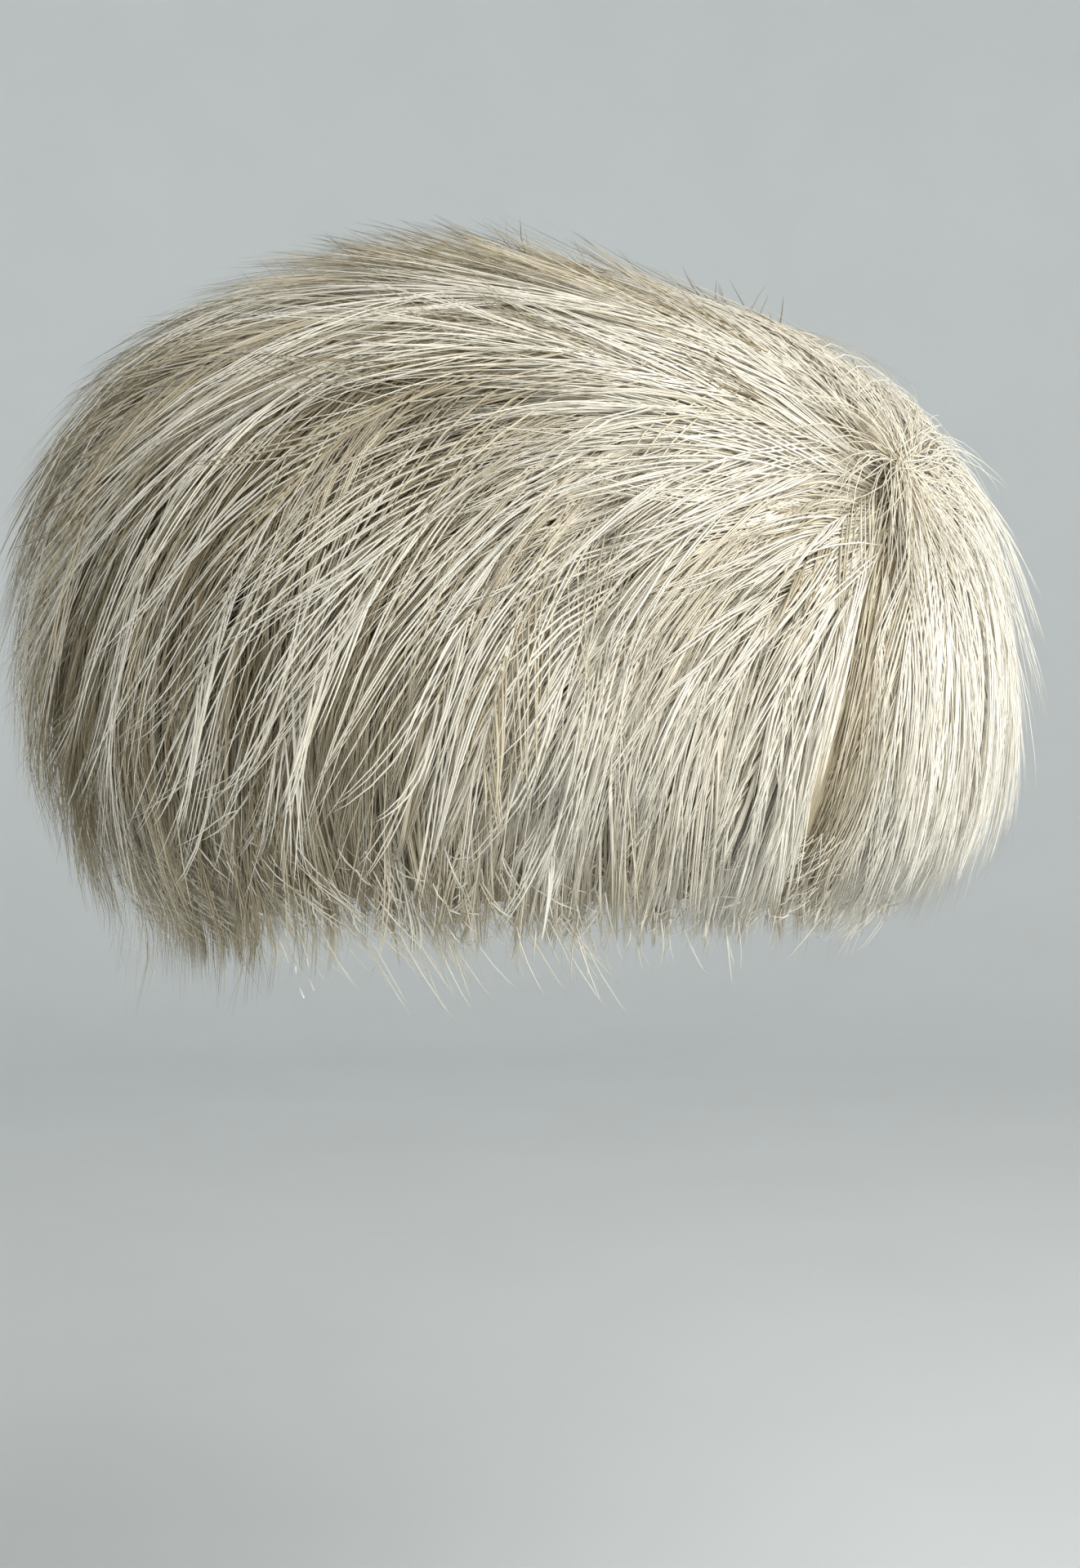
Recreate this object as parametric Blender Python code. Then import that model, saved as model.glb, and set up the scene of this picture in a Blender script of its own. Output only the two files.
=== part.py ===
"""A round feather hat: a netted bubble foundation, a down bed over it, and sprays of long feathers.

Every spray is combed away from one whorl above the left temple. The hat faces -Y, +Z is up, and the
origin is the middle of the head opening, in the plane of the foundation's rim. Sizes are in metres.
"""

import cmath
import math
import random
from collections import namedtuple

import bmesh
import bpy
from mathutils import Vector

# The foundation, measured over its outer face
BUBBLE_WIDTH = 0.220
BUBBLE_DEPTH = 0.244
CROWN_RISE = 0.076  # from the widest level up to the crown
WIDEST_LEVEL = 0.062  # from the rim up to the widest level
RIM_SHARE = 0.80  # the rim's size as a share of the widest section
CROWN_FULLNESS = 2.5  # 2 is an ellipse, and more is squarer
TUCK_FULLNESS = 2.2
FOUNDATION_WALL = 0.002
ROUND_SEGMENTS = 40
FOUNDATION_RINGS = 8

# The down bed
BED_GAP = 0.0005
BED_THICKNESS = 0.003
BED_RINGS = 9
BED_HANG = 0.012  # from the rim to the tips of its fringe
BED_NOTCH = 0.008
BED_TIP_THICKNESS = 0.0012

# The whorl that all feathers part from, as a turn from +X and a share of the way from crown to rim
WHORL_TURN = math.radians(-38)
WHORL_SHARE = 0.50
TUFT_RADIUS = 0.011
TUFT_HEIGHT = 0.008
TUFT_SEGMENTS = 16
TUFT_RINGS = 6
TUFT_PLEAT = 0.16  # how deep its pleats are, as a share of its radius
TUFT_CLEARANCE = 0.0006

# Clearances between feathers
ROOT_GAP = 0.0009  # under a row's roots, which are sewn down
ROW_GAP = 0.0013  # between a row and the row or bed that it lies on
SEAM_GAP = 0.0007  # between two sprays side by side
TIP_RISE = 0.0012  # how much further lock tips stand off
ROOT_LEAD = 0.06  # how far ahead of a root the row above has lifted clear, as a share of the way

# How far lock tips hang below the rim
HANG_FRONT = 0.012
HANG_LEFT = 0.034
TIP_THICKNESS = 0.0014
ROOT_THICKNESS = 0.0022
COLUMNS_IN_LOCK = 2
GROOVE_SHARE = 0.5  # how deep the groove between two locks is, as a share of the row's thickness
SWAY = 0.30  # how far a tip leans aside, in lock widths

# The parting that opens below the whorl, between the front and the side spray
PARTING_WIDTH = 0.017

# How fast locks spread: 0 is even at the rim, and 1 is even round the whorl
SPREAD_AT_WHORL = 0.55
WAY_STEPS = 48
HANG_STEPS = 2
FALL_BEND = 0.012  # the length over which feathers past the rim turn to hang straight down
OUTWARD_SHARE = 0.4  # below the widest level, how much of the surface's downward lean feathers keep

# Rows of locks, from the lowest up. Roots are stations, and tips and notches are shares of the way
# from the tuft to the rim. Lifts are heights over the foundation. A row with hang 1 passes the rim.
STATIONS = 16
TIP_SPREAD = 0.06  # how much lock tips differ in length, as a share of the way
Row = namedtuple("Row", "name root tip root_lift tip_lift notch hang")
HEM_ROW = Row("hem", 10, 1.00, 0.0064, 0.0135, 0.10, 1)
MIDDLE_ROW = Row("middle", 4, 0.97, 0.0095, 0.0220, 0.12, 0)
UPPER_ROW = Row("upper", 0, 0.60, 0.0085, 0.0270, 0.15, 0)
SIDE_UPPER_ROW = Row("upper", 0, 0.95, 0.0085, 0.0220, 0.12, 0)
THREE_ROWS = (HEM_ROW, MIDDLE_ROW, UPPER_ROW)
TWO_ROWS = (HEM_ROW, SIDE_UPPER_ROW)

# Sprays, by the turn at which each meets the rim, in degrees from +X towards the front
Spray = namedtuple("Spray", "name first last locks rows parts_first parts_last")
SPRAYS = (
    Spray("front_sweep", -54, -150, 9, THREE_ROWS, 1, 0),
    Spray("crown_sweep", -150, -255, 10, THREE_ROWS, 0, 0),
    Spray("back_fall", -255, -340, 8, THREE_ROWS, 0, 0),
    Spray("side_fall", -340, -414, 8, TWO_ROWS, 0, 1),
)

# Colour, roughness
NET_BROWN = ((0.30, 0.22, 0.13), 0.85)
DOWN_BEIGE = ((0.62, 0.55, 0.43), 0.90)
FEATHER_CREAM = ((0.86, 0.83, 0.74), 0.55)
FEATHER_IVORY = ((0.83, 0.78, 0.66), 0.60)

WHORL = cmath.rect(WHORL_SHARE, WHORL_TURN)
SPREAD_CENTRE = WHORL * SPREAD_AT_WHORL
BED_TOP = BED_GAP + BED_THICKNESS
RIM_DROP = (1 - RIM_SHARE**TUCK_FULLNESS) ** (1 / TUCK_FULLNESS)
TUCK_DROP = WIDEST_LEVEL / RIM_DROP
RIM_TURN = math.atan2(RIM_SHARE, -RIM_DROP)  # polar angle of the rim, seen from the bubble's centre


def shell_point(disc, lift):
    """The point at a height over the foundation; disc is 0 at the crown and has size 1 at the rim."""
    polar = abs(disc) * RIM_TURN
    turn = cmath.phase(disc)
    sine, cosine = math.sin(polar), math.cos(polar)
    full, drop = (CROWN_FULLNESS, CROWN_RISE) if cosine >= 0 else (TUCK_FULLNESS, TUCK_DROP)
    reach = (sine**full + abs(cosine) ** full) ** (-1 / full)
    out, up = reach * sine, reach * cosine
    half_width, half_depth = BUBBLE_WIDTH / 2, BUBBLE_DEPTH / 2
    point = Vector((half_width * out * math.cos(turn), half_depth * out * math.sin(turn), drop * up))
    slope_out = out ** (full - 1)
    slope_up = math.copysign(abs(up) ** (full - 1), up) / drop
    normal = Vector(
        (slope_out * math.cos(turn) / half_width, slope_out * math.sin(turn) / half_depth, slope_up)
    )
    if normal.z < 0:
        normal.z *= OUTWARD_SHARE
    return point + normal.normalized() * lift + Vector((0, 0, WIDEST_LEVEL))


def rim_rate():
    """Metres along the foundation for one unit of disc, at the rim."""
    step = 0.01
    return (shell_point(1, 0) - shell_point(1 - step, 0)).length / step


RIM_RATE = rim_rate()


def hat_point(disc, lift):
    """As shell_point, but past the rim the surface goes on as feathers hanging down."""
    beyond = (abs(disc) - 1) * RIM_RATE
    if beyond <= 0:
        return shell_point(disc, lift)
    at_rim = disc / abs(disc)
    start = shell_point(at_rim, lift)
    tangent = (start - shell_point(at_rim * 0.98, lift)).normalized()
    bent = FALL_BEND * (1 - math.exp(-beyond / FALL_BEND))
    return start + tangent * bent + Vector((0, 0, bent - beyond))


def shifted(disc, centre):
    """Moves the disc into itself so that its middle goes to centre; circles through it stay circles."""
    return (disc + centre) / (1 + centre.conjugate() * disc)


def rim_turn(column):
    """The turn at which a column of feathers meets the rim."""
    return cmath.phase(shifted(cmath.rect(1, column), SPREAD_CENTRE))


def column_at(turn):
    """The column whose feathers meet the rim at a turn."""
    return cmath.phase(shifted(cmath.rect(1, turn), -SPREAD_CENTRE))


class Way:
    """The way that feathers of one column take from the whorl to the rim, by its length."""

    def __init__(self, column):
        self.rim = cmath.rect(1, rim_turn(column))
        heading = shifted(self.rim, -WHORL)
        self.discs = [shifted(heading * step / WAY_STEPS, WHORL) for step in range(WAY_STEPS + 1)]
        points = [shell_point(disc, 0) for disc in self.discs]
        self.lengths = [0.0]
        for before, after in zip(points, points[1:]):
            self.lengths.append(self.lengths[-1] + (after - before).length)
        self.length = self.lengths[-1]

    def disc(self, share):
        """The place on the disc at a share of the way from the tuft's edge to the rim."""
        distance = self.distance(share)
        if distance >= self.length:
            return self.rim * (1 + (distance - self.length) / RIM_RATE)
        step = next(i for i in range(WAY_STEPS) if self.lengths[i + 1] > distance)
        share = (distance - self.lengths[step]) / (self.lengths[step + 1] - self.lengths[step])
        return self.discs[step] + (self.discs[step + 1] - self.discs[step]) * share

    def distance(self, share):
        """Metres from the whorl at a share of the way."""
        start = TUFT_RADIUS + TUFT_CLEARANCE
        return start + (self.length - start) * share

    def share_of(self, metres):
        """The share of the way that a length along it takes."""
        return metres / (self.length - TUFT_RADIUS - TUFT_CLEARANCE)


def hang_below(turn):
    """How far tips reach below the rim: furthest at the hat's left in the view from the front."""
    return HANG_FRONT + (HANG_LEFT - HANG_FRONT) * max(0.0, -math.cos(turn))


def outer_lift(row, share):
    """Height of a row's outer side over the foundation."""
    root = row.root / STATIONS
    return row.root_lift + (row.tip_lift - row.root_lift) * (share - root) / (row.tip - root)


def seat_lift(rows, index, share):
    """Height of what a row lies on: the bed, or the row below it."""
    lowest = BED_TOP
    if index:
        lowest = max(lowest, outer_lift(rows[index - 1], share + ROOT_LEAD))
    return lowest


def make_object(name, bm, finish):
    colour, roughness = finish
    bmesh.ops.recalc_face_normals(bm, faces=bm.faces)
    if bm.calc_volume(signed=True) < 0:
        bmesh.ops.reverse_faces(bm, faces=bm.faces)
    mesh = bpy.data.meshes.new(name)
    bm.to_mesh(mesh)
    bm.free()
    mesh.shade_smooth()
    mesh.set_sharp_from_angle(angle=math.radians(50))
    material = bpy.data.materials.new(name)
    material.use_nodes = True
    shader = material.node_tree.nodes["Principled BSDF"]
    shader.inputs["Base Color"].default_value = (*colour, 1)
    shader.inputs["Roughness"].default_value = roughness
    shader.inputs["Metallic"].default_value = 0
    mesh.materials.append(material)
    made = bpy.data.objects.new(name, mesh)
    bpy.context.scene.collection.objects.link(made)
    return made


def cap(name, finish, rings, place):
    """A ball pushed in to a cap: place(turn, share, outside) gives each point, share 1 at the edge."""
    bm = bmesh.new()
    bmesh.ops.create_uvsphere(bm, u_segments=ROUND_SEGMENTS, v_segments=2 * rings + 1, radius=1)
    for vertex in bm.verts:
        turn = math.atan2(vertex.co.y, vertex.co.x)
        ring = round(math.acos(max(-1.0, min(1.0, vertex.co.z))) / math.pi * (2 * rings + 1))
        outside = ring <= rings
        share = (ring if outside else 2 * rings + 1 - ring) / rings
        vertex.co = place(turn, share, outside)
    return make_object(name, bm, finish)


def foundation():
    def place(turn, share, outside):
        return shell_point(cmath.rect(share, turn), 0 if outside else -FOUNDATION_WALL)

    return cap("foundation", NET_BROWN, FOUNDATION_RINGS, place)


def down_bed():
    """Short down over the whole foundation, with a notched fringe just below the rim."""
    rim_ring = (BED_RINGS - 1) / BED_RINGS

    def place(turn, share, outside):
        segment = round(turn / (2 * math.pi) * ROUND_SEGMENTS)
        fringe = BED_HANG - BED_NOTCH * (segment % 2)
        past_rim = share > rim_ring + 0.5 / BED_RINGS
        reach = 1 + fringe / RIM_RATE if past_rim else share / rim_ring
        thickness = BED_TIP_THICKNESS if past_rim else BED_THICKNESS
        return hat_point(cmath.rect(reach, turn), BED_GAP + (thickness if outside else 0))

    return cap("down_bed", DOWN_BEIGE, BED_RINGS, place)


def whorl_tuft():
    """A low pleated knot of feather roots, seated on the bed at the whorl."""
    seat = hat_point(WHORL, BED_TOP)
    up = (hat_point(WHORL, BED_TOP + TUFT_HEIGHT) - seat).normalized()
    turned = up.to_track_quat("Z", "Y")
    bm = bmesh.new()
    bmesh.ops.create_uvsphere(bm, u_segments=TUFT_SEGMENTS, v_segments=TUFT_RINGS, radius=1)
    for vertex in bm.verts:
        turn = math.atan2(vertex.co.y, vertex.co.x)
        pleat = 1 - TUFT_PLEAT * (round(turn / (2 * math.pi) * TUFT_SEGMENTS) % 2)
        side = Vector((vertex.co.x, vertex.co.y, 0)) * TUFT_RADIUS * pleat
        level = TUFT_HEIGHT * (vertex.co.z + 1) / 2
        sag = side.length**2 / BUBBLE_WIDTH  # follows the bubble's own curve below it
        vertex.co = seat + turned @ (side + Vector((0, 0, level - sag))) + up * TUFT_CLEARANCE
    return make_object("whorl_tuft", bm, FEATHER_IVORY)


def parting_push(share, parts):
    """How far a spray's edge stands off the parting, growing from the whorl down."""
    return parts * PARTING_WIDTH / 2 * min(1.0, 1.6 * share)


def spray_row(spray, index, chance):
    """One row of a spray: locks side by side on a common backing, each grooved and pointed."""
    row = spray.rows[index]
    columns = spray.locks * COLUMNS_IN_LOCK
    first, last = (column_at(math.radians(turn)) for turn in (spray.first, spray.last))
    if last > first:
        last -= 2 * math.pi
    shorter = [chance.uniform(0, TIP_SPREAD) for _ in range(spray.locks)]
    lean = [chance.uniform(-1, 1) for _ in range(spray.locks + 1)]
    opens = row is not HEM_ROW
    whole = math.floor((row.tip - row.notch - TIP_SPREAD) * STATIONS)  # last station of all locks
    steps = math.ceil(row.tip * STATIONS) + HANG_STEPS * row.hang - row.root
    ways = {}

    def way_at(column):
        key = round(column, 5)
        if key not in ways:
            ways[key] = Way(column)
        return ways[key]

    def rate(column, share):
        """Metres aside for one unit of column."""
        step = 0.01
        side = hat_point(way_at(column + step).disc(share), BED_TOP)
        return max((side - hat_point(way_at(column).disc(share), BED_TOP)).length / step, 1e-4)

    def place(across, step, outside):
        lock = min(int(across * spray.locks), spray.locks - 1)
        in_lock = across * spray.locks - lock
        crest = math.sin(math.pi * in_lock)
        column = first + (last - first) * across
        way = way_at(column)
        end = row.tip - row.notch * (1 - crest) - shorter[lock] * crest
        end += way.share_of(row.hang * hang_below(rim_turn(column)))
        share = (row.root + step) / STATIONS
        if row.root + step > whole:
            share = whole / STATIONS
            share += (end - share) * (row.root + step - whole) / (row.root + steps - whole)
        along = (share - row.root / STATIONS) / (end - row.root / STATIONS)
        aside = rate(column, share)
        edge_first = (SEAM_GAP / 2 + parting_push(share, spray.parts_first * opens)) / aside
        edge_last = (SEAM_GAP / 2 + parting_push(share, spray.parts_last * opens)) / aside
        leaning = lean[lock] + (lean[lock + 1] - lean[lock]) * in_lock
        sway = SWAY * leaning * along**2 * math.sin(math.pi * across) * (last - first) / spray.locks
        column += edge_last * across - edge_first * (1 - across) + sway
        rooted = min(1.0, 4 * along)
        lower = seat_lift(spray.rows, index, share) + TIP_RISE * along**2
        lower += ROOT_GAP + (ROW_GAP - ROOT_GAP) * rooted
        thickness = outer_lift(row, share) - lower
        thickness *= 1 - GROOVE_SHARE * (1 - crest) * min(1.0, 3 * along)
        tapered = TIP_THICKNESS + (thickness - TIP_THICKNESS) * min(1.0, 2.5 * (1 - along))
        thickness = ROOT_THICKNESS + (tapered - ROOT_THICKNESS) * rooted
        return hat_point(way_at(column).disc(share), lower + (thickness if outside else 0))

    bm = bmesh.new()
    bmesh.ops.create_grid(bm, x_segments=columns, y_segments=steps, size=1)
    raised = bmesh.ops.extrude_face_region(bm, geom=bm.faces[:], use_keep_orig=True)
    for vertex in (item for item in raised["geom"] if isinstance(item, bmesh.types.BMVert)):
        vertex.co.z = 1
    for vertex in bm.verts:
        across, along = (vertex.co.x + 1) / 2, (vertex.co.y + 1) / 2
        vertex.co = place(across, round(along * steps), vertex.co.z > 0.5)
    finish = FEATHER_IVORY if row is HEM_ROW else FEATHER_CREAM
    return make_object(f"{spray.name}_{row.name}", bm, finish)


def main():
    for old in list(bpy.data.objects):
        bpy.data.objects.remove(old)
    foundation()
    down_bed()
    whorl_tuft()
    chance = random.Random(7)
    for spray in SPRAYS:
        for index in range(len(spray.rows)):
            spray_row(spray, index, chance)


main()
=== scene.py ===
"""A feather hat: real feathers, each a quill with its own barbs, laid over the CAD foundation.

Every feather is laid along the ways that the solids' locks take, from one whorl over the crown and the
sides to the rim, so a spray of feathers stands in the space of the row of locks that it replaces.
"""

import math
from collections import namedtuple

import bmesh
import bpy
import numpy as np
from mathutils import Euler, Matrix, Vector


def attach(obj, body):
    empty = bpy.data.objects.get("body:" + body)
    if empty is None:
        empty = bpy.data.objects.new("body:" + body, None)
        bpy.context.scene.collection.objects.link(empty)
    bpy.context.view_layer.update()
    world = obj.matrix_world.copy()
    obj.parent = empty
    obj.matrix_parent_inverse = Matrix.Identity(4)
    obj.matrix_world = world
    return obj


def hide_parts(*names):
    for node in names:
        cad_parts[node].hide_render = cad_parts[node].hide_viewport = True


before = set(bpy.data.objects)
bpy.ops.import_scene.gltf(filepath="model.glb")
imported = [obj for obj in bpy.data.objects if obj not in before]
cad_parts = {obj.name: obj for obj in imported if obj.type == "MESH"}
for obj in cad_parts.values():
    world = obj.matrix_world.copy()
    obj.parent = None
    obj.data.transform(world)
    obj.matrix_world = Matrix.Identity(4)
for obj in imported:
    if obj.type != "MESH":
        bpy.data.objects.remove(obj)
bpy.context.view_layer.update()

bl_info = {
    "name": "Feather Hat",
    "version": (1, 0, 0),
    "blender": (4, 5, 0),
    "location": "3D View > Sidebar > Feather Hat",
    "description": "Builds a round hat of long cream feathers on a net foundation",
    "category": "Add Mesh",
}

TAU = 2 * math.pi
PHOTO_HEIGHT = 1920  # pixels

# Rows of feathers, from the lowest up. Roots and tips are shares of the way from the whorl to the rim, and
# the spreads are how far they vary. Lifts are heights over the foundation there, and hang and parting are
# shares of the fringe's length and of the parting's width.
Row = namedtuple("Row", "name root root_spread tip tip_spread root_lift tip_lift hang parting")
HEM_ROW = Row("hem", 0.56, 0.20, 1.08, 0.0, 0.0060, 0.0140, 1.0, 0.8)
MIDDLE_ROW = Row("middle", 0.24, 0.26, 0.97, 0.0, 0.0080, 0.0200, 0.5, 0.8)
UPPER_ROW = Row("upper", 0.02, 0.22, 0.58, 0.32, 0.0085, 0.0165, 0.0, 1.0)
SIDE_UPPER_ROW = Row("upper", 0.02, 0.30, 0.95, 0.0, 0.0085, 0.0200, 0.6, 0.8)

# Kinds of feather: barbs on each side of a quill, in clumps of neighbours, and segments in a barb. Deepest
# and shallowest are depths in the row, from 0, innermost, to 1. Stiffness is how strongly feathers spring
# off the hat, and rarity how few do. Lag is in degrees behind the bend of the ways. Width and angle are
# shares of the usual ones, and set is how soon barbs turn along the quill. Tone goes from 0, beige, to 1,
# white, and the paling after it is painted light: a gain in tone towards the right, on the whorl's side,
# which the window lights. Reach is a barb's share of the way left to the tip, and shortest the least part
# of that. Ruffle is in degrees, and ragged is how unevenly barbs end at the hem. Under feathers are dense
# and lie low, over feathers are long and white, and vanes have open barbs.
KIND_FIELDS = "barbs clump segments deepest shallowest stiffness rarity lag width angle set tone paling"
Kind = namedtuple("Kind", KIND_FIELDS + " reach shortest ruffle ragged")
UNDER = Kind(51, 6, 4, 0.0, 0.55, 0.25, 4.0, 10, 0.75, 0.85, 3.5, 0.00, 0.95, 1.0, 0.78, 3.5, 0.9)
OVER = Kind(18, 3, 6, 0.35, 1.0, 1.60, 4.0, 34, 0.80, 0.8, 3.5, 0.85, 0.10, 1.0, 0.55, 5.0, 2.4)
VANE = Kind(24, 4, 4, 0.50, 1.0, 1.80, 1.0, 20, 0.90, 1.5, 1.2, 0.12, 0.30, 0.45, 0.60, 9.0, 1.0)

# A spray of each row: the turns in degrees at which it meets the rim, its feathers of each kind, the side
# of the parting that it keeps to, if any, its swirl in degrees and its seed
Spray = namedtuple("Spray", "name first last row under over vanes parts swirl seed")
FRONT_SPRAYS = (
    Spray("front_sweep_hem", -54, -160, HEM_ROW, 23, 14, 0, -1, 4, 11),
    Spray("front_sweep_middle", -54, -164, MIDDLE_ROW, 32, 20, 2, -1, 18, 12),
    Spray("front_sweep_upper", -54, -168, UPPER_ROW, 28, 24, 2, -1, 26, 13),
)
CROWN_SPRAYS = (
    Spray("crown_sweep_hem", -142, -260, HEM_ROW, 21, 11, 10, 0, 10, 21),
    Spray("crown_sweep_middle", -134, -264, MIDDLE_ROW, 24, 16, 13, 0, 20, 22),
    Spray("crown_sweep_upper", -124, -268, UPPER_ROW, 26, 22, 13, 0, 24, 23),
)
BACK_SPRAYS = (
    Spray("back_fall_hem", -250, -345, HEM_ROW, 19, 10, 2, 0, 0, 31),
    Spray("back_fall_middle", -248, -350, MIDDLE_ROW, 19, 16, 2, 0, 0, 32),
    Spray("back_fall_upper", -246, -354, UPPER_ROW, 17, 18, 2, 0, 0, 33),
)
SIDE_SPRAYS = (
    Spray("side_fall_hem", -335, -414, HEM_ROW, 15, 12, 0, 1, 0, 41),
    Spray("side_fall_upper", -330, -414, SIDE_UPPER_ROW, 33, 26, 0, 1, 0, 42),
)


def measure(name, description, default, **fitting):
    """A number that a user may change, with the unit or subtype that fits it."""
    return bpy.props.FloatProperty(name=name, description=description, default=default, **fitting)


def colour_property(name, description, default):
    return bpy.props.FloatVectorProperty(
        name=name, description=description, default=default, subtype="COLOR", size=3, min=0, max=1
    )


class FeatherHatSizes(bpy.types.PropertyGroup):
    """The surface that the feathers lie on, as the solids have it."""

    bubble_width: measure("Bubble width", "Foundation, side to side", 0.220, unit="LENGTH")
    bubble_depth: measure("Bubble depth", "Foundation, front to back", 0.244, unit="LENGTH")
    crown_rise: measure("Crown rise", "Widest level to crown", 0.076, unit="LENGTH")
    widest_level: measure("Widest level", "Rim to widest level", 0.062, unit="LENGTH")
    rim_share: measure("Rim share", "Rim size over widest size", 0.80, subtype="FACTOR")
    crown_fullness: measure("Crown fullness", "2 is an ellipse, more is squarer", 2.5)
    tuck_fullness: measure("Tuck fullness", "As above, below the widest level", 2.2)
    whorl_turn: measure("Whorl turn", "Turn from +X", math.radians(-38), subtype="ANGLE")
    whorl_share: measure("Whorl share", "Share of the way from crown to rim", 0.50)
    spread: measure("Spread", "0 is even at the rim, 1 even round the whorl", 0.55)
    hang_front: measure("Hang in front", "Fringe below the rim", 0.012, unit="LENGTH")
    hang_left: measure("Hang at left", "Fringe below the rim", 0.032, unit="LENGTH")
    outward_share: measure("Outward share", "How much of its downward lean fur keeps", 0.4)
    fall_bend: measure("Fall bend", "Length of the turn past the rim", 0.012, unit="LENGTH")
    parting_width: measure("Parting width", "Hollow below the whorl", 0.014, unit="LENGTH")
    parting_softness: measure("Parting softness", "How far strands crowd in", 0.0015, unit="LENGTH")
    parting_turn: measure("Parting turn", "At the rim", math.radians(-54), subtype="ANGLE")


class FeatherHatFeathers(bpy.types.PropertyGroup):
    """What one feather is made of."""

    highest_lift: measure("Highest lift", "Limit of what stands off", 0.031, unit="LENGTH")
    barb_width: measure("Barb width", "Widest part of a barb", 0.00078, unit="LENGTH")
    quill_width: measure("Quill width", "At the root", 0.0012, unit="LENGTH")
    longest_barb: measure("Longest barb", "Length limit", 0.120, unit="LENGTH")
    barb_angle: measure("Barb angle", "From the quill", math.radians(26), subtype="ANGLE")
    stray: measure("Stray", "Share of barbs that fly loose", 0.05, subtype="FACTOR")


class FeatherHatColours(bpy.types.PropertyGroup):
    """Linear colours of the hat and its stage."""

    white: colour_property("White", "Barbs in the light", (0.95, 0.91, 0.81))
    cream: colour_property("Cream", "Barbs", (0.78, 0.70, 0.54))
    root: colour_property("Root", "Barbs at the quill", (0.30, 0.245, 0.145))
    down: colour_property("Down", "Short down below the feathers", (0.66, 0.57, 0.40))
    down_dark: colour_property("Down shade", "Between tufts of down", (0.36, 0.29, 0.18))
    net: colour_property("Net", "Threads of the net", (0.16, 0.10, 0.05))
    backing: colour_property("Backing", "Woven base under the net", (0.36, 0.29, 0.19))
    stage: colour_property("Stage", "Floor and backdrop", (0.765, 0.80, 0.815))


# The surface and its ways


def shifted(disc, centre):
    """Moves the disc into itself so that its middle goes to centre; circles through it stay circles."""
    return (disc + centre) / (1 + np.conj(centre) * disc)


def along_axis(values):
    return values[..., None]


def past_rim(places, tangent, beyond, bend):
    """Places moved on by a length past the rim, in a soft turn from the tangent to straight down."""
    bent = bend * (1 - np.exp(-beyond / bend))
    places = places + tangent * along_axis(bent)
    places[..., 2] += bent - beyond
    return places


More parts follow.
